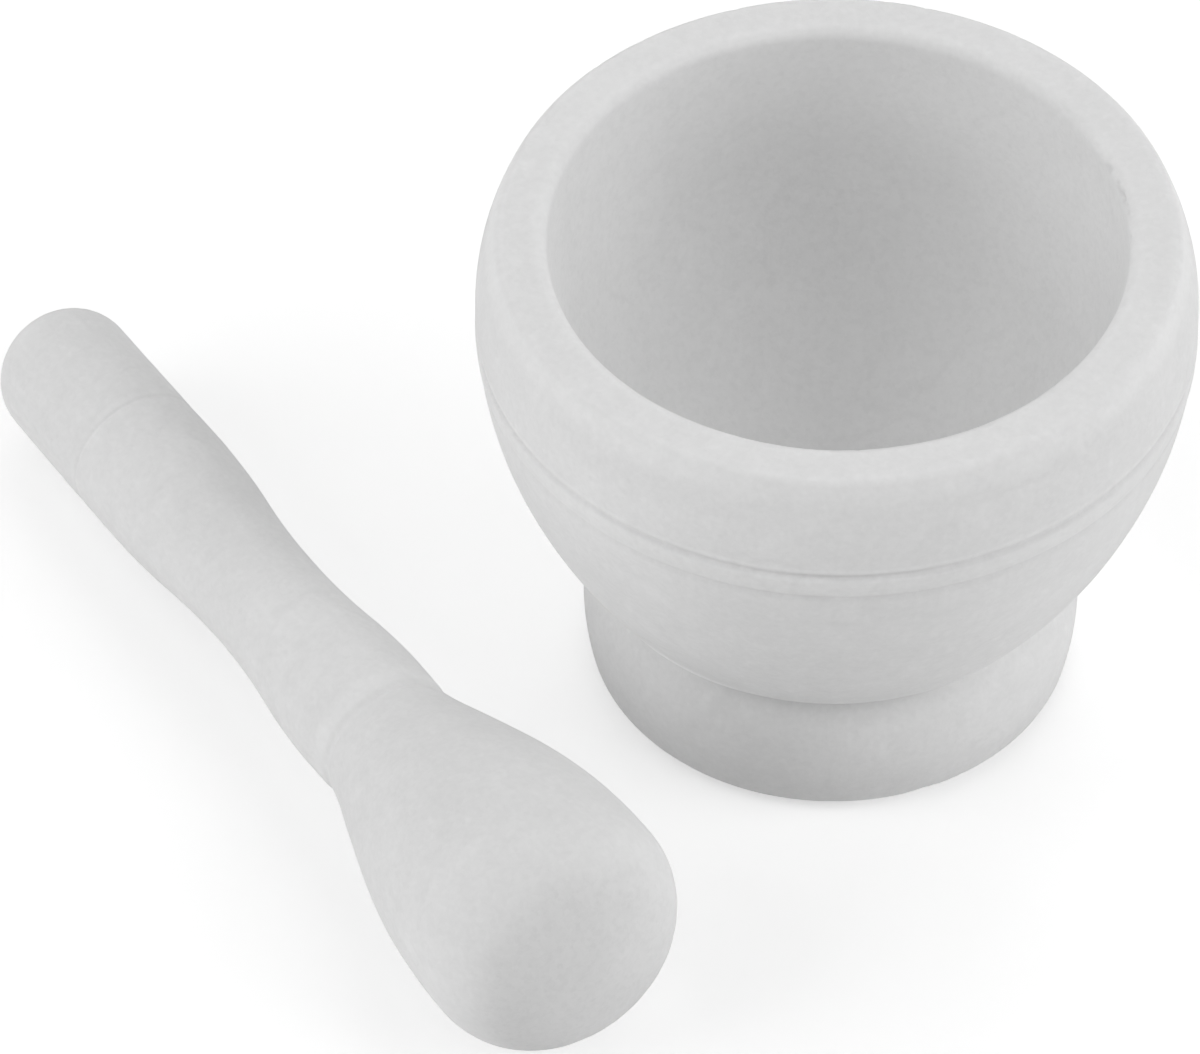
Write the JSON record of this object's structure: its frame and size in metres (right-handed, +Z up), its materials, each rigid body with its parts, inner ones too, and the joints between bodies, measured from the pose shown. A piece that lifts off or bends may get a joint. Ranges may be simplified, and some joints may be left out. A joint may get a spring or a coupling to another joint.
{
  "type": "mortar and pestle",
  "caption": "Footed stone mortar with a deep round bowl and scored lines below the rim, and a turned pestle with a waisted handle and a round head lying beside it.",
  "frame": {"origin": "on the mortar's axis, at the underside of the pad, which is the table's surface", "axes": "+Z up along the mortar's axis, +X to the viewer's right, -Y towards the viewer"},
  "size_m": [0.1704, 0.1391, 0.0802],
  "materials": {
    "marble": "honed fine-grained white marble, matte, rough-ground inside the bowl and on the pestle's face",
    "foam": "closed-cell foam sheet, matte"
  },
  "bodies": {
    "mortar": {"mortar": "marble", "base_pad": "foam"},
    "pestle": {"pestle": "marble"}
  },
  "joints": [
    {"name": "pestle_lift", "type": "slide", "parent": "mortar", "child": "pestle", "axis": [0, 0, 1], "range_m": [0, 0.12]}
  ]
}
